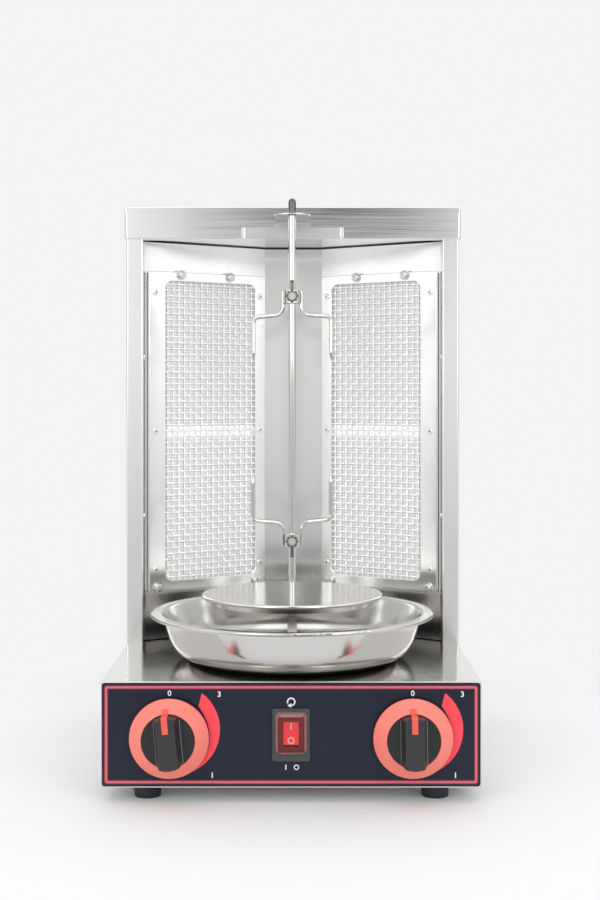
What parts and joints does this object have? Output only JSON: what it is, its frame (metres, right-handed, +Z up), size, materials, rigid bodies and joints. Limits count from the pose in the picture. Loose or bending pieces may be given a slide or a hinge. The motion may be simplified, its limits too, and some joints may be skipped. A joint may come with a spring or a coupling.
{
  "type": "vertical doner grill",
  "caption": "Countertop vertical grill: a turning spit with a meat disc stands over a drip pan in front of two upright gas burners set in a V.",
  "frame": {"origin": "centre of the bounding box on the plane the feet rest on", "axes": "+Z up along the spit, front of the grill with its knobs faces -Y, +X to the right seen from the front"},
  "size_m": [0.333, 0.3944, 0.54],
  "materials": {
    "satin_steel": "satin brushed stainless sheet",
    "bright_steel": "mirror-bright stainless",
    "plain_steel": "plain pressed steel",
    "wire_steel": "woven stainless wire",
    "zinc_steel": "zinc-plated",
    "ceramic_plaque": "matt perforated ceramic",
    "joint_cement": "matt white cement",
    "panel_film": "semi-gloss printed film",
    "black_rubber": "matt",
    "black_plastic": "satin",
    "coral_plastic": "satin coral",
    "grey_plastic": "fine matt",
    "red_plastic": "glossy red",
    "clear_vinyl": "clear soft cover",
    "valve_brass": "machined",
    "pipe_aluminium": "drawn tube",
    "motor_metal": "grey coated",
    "wire_sleeve": "matt sleeve"
  },
  "bodies": {
    "frame": {"back_panel": "satin_steel", "base_shell": "satin_steel", "bottom_plate": "satin_steel", "burner_bolts": "zinc_steel", "burner_box_left": "plain_steel", "burner_box_right": "plain_steel", "burner_frame_left": "satin_steel", "burner_frame_right": "satin_steel", "burner_mesh_left": "wire_steel", "burner_mesh_right": "wire_steel", "burner_wall_left": "satin_steel", "burner_wall_right": "satin_steel", "cable_gland": "black_plastic", "ceiling_plate": "satin_steel", "ceramic_plaques": "ceramic_plaque", "deck_bush": "valve_brass", "gas_inlet": "valve_brass", "gas_manifold": "plain_steel", "gas_pipe_left": "pipe_aluminium", "gas_pipe_right": "pipe_aluminium", "gear_motor": "motor_metal", "hood": "satin_steel", "injectors": "valve_brass", "machine_screws": "zinc_steel", "motor_bracket": "satin_steel", "panel_overlay": "panel_film", "plaque_joints": "joint_cement", "pop_rivets": "zinc_steel", "rear_cover": "satin_steel", "rear_plate": "satin_steel", "rubber_feet": "black_rubber", "side_panel_left": "satin_steel", "side_panel_right": "satin_steel", "spit_bracket": "satin_steel", "switch_body": "grey_plastic", "switch_boot": "clear_vinyl", "top_lid": "satin_steel", "valve_body_left": "valve_brass", "valve_body_right": "valve_brass", "wire_leads": "wire_sleeve"},
    "pan": {"drip_pan": "bright_steel"},
    "drive": {"drive_socket": "bright_steel"},
    "spit": {"spit_rod": "bright_steel", "meat_disc": "bright_steel"},
    "upper_fork": {"upper_fork": "bright_steel"},
    "lower_fork": {"lower_fork": "bright_steel"},
    "upper_screw": {"upper_thumb_screw": "bright_steel"},
    "lower_screw": {"lower_thumb_screw": "bright_steel"},
    "left_push": {"spring_cup_left": "valve_brass"},
    "right_push": {"spring_cup_right": "valve_brass"},
    "left_knob": {"valve_stem_left": "valve_brass", "knob_skirt_left": "coral_plastic", "knob_grip_left": "black_plastic", "knob_pointer_left": "coral_plastic"},
    "right_knob": {"valve_stem_right": "valve_brass", "knob_skirt_right": "coral_plastic", "knob_grip_right": "black_plastic", "knob_pointer_right": "coral_plastic"},
    "rocker": {"switch_rocker": "red_plastic"}
  },
  "joints": [
    {"name": "pan_lift", "type": "slide", "parent": "frame", "child": "pan", "axis": [0, 0, 1], "range_m": [0, 0.022]},
    {"name": "drive_turn", "type": "hinge", "parent": "frame", "child": "drive", "pos_m": [0, -0.05185, 0.1], "axis": [0, 0, 1], "continuous": true},
    {"name": "spit_lift", "type": "slide", "parent": "drive", "child": "spit", "axis": [0, 0, 1], "range_m": [0, 0.03]},
    {"name": "upper_fork_slide", "type": "slide", "parent": "spit", "child": "upper_fork", "axis": [0, 0, 1], "range_m": [-0.05, 0.008]},
    {"name": "lower_fork_slide", "type": "slide", "parent": "spit", "child": "lower_fork", "axis": [0, 0, 1], "range_m": [-0.03, 0.05]},
    {"name": "upper_screw_turn", "type": "hinge", "parent": "upper_fork", "child": "upper_screw", "pos_m": [0, -0.05185, 0.4464], "axis": [0, -1, 0], "range_deg": [0, 360]},
    {"name": "lower_screw_turn", "type": "hinge", "parent": "lower_fork", "child": "lower_screw", "pos_m": [0, -0.05185, 0.2167], "axis": [0, -1, 0], "range_deg": [0, 360]},
    {"name": "left_knob_push", "type": "slide", "parent": "frame", "child": "left_push", "axis": [0, 1, 0], "range_m": [0, 0.003], "stiffness_N_per_m": 1500, "springref_m": -0.001},
    {"name": "left_knob_turn", "type": "hinge", "parent": "left_push", "child": "left_knob", "pos_m": [-0.1053, -0.16585, 0.0575], "axis": [0, 1, 0], "range_deg": [0, 150]},
    {"name": "right_knob_push", "type": "slide", "parent": "frame", "child": "right_push", "axis": [0, 1, 0], "range_m": [0, 0.003], "stiffness_N_per_m": 1500, "springref_m": -0.001},
    {"name": "right_knob_turn", "type": "hinge", "parent": "right_push", "child": "right_knob", "pos_m": [0.1053, -0.16585, 0.0575], "axis": [0, 1, 0], "range_deg": [0, 150]},
    {"name": "rocker_switch", "type": "hinge", "parent": "frame", "child": "rocker", "pos_m": [0, -0.16285, 0.0606], "axis": [1, 0, 0], "range_deg": [0, 18]}
  ]
}
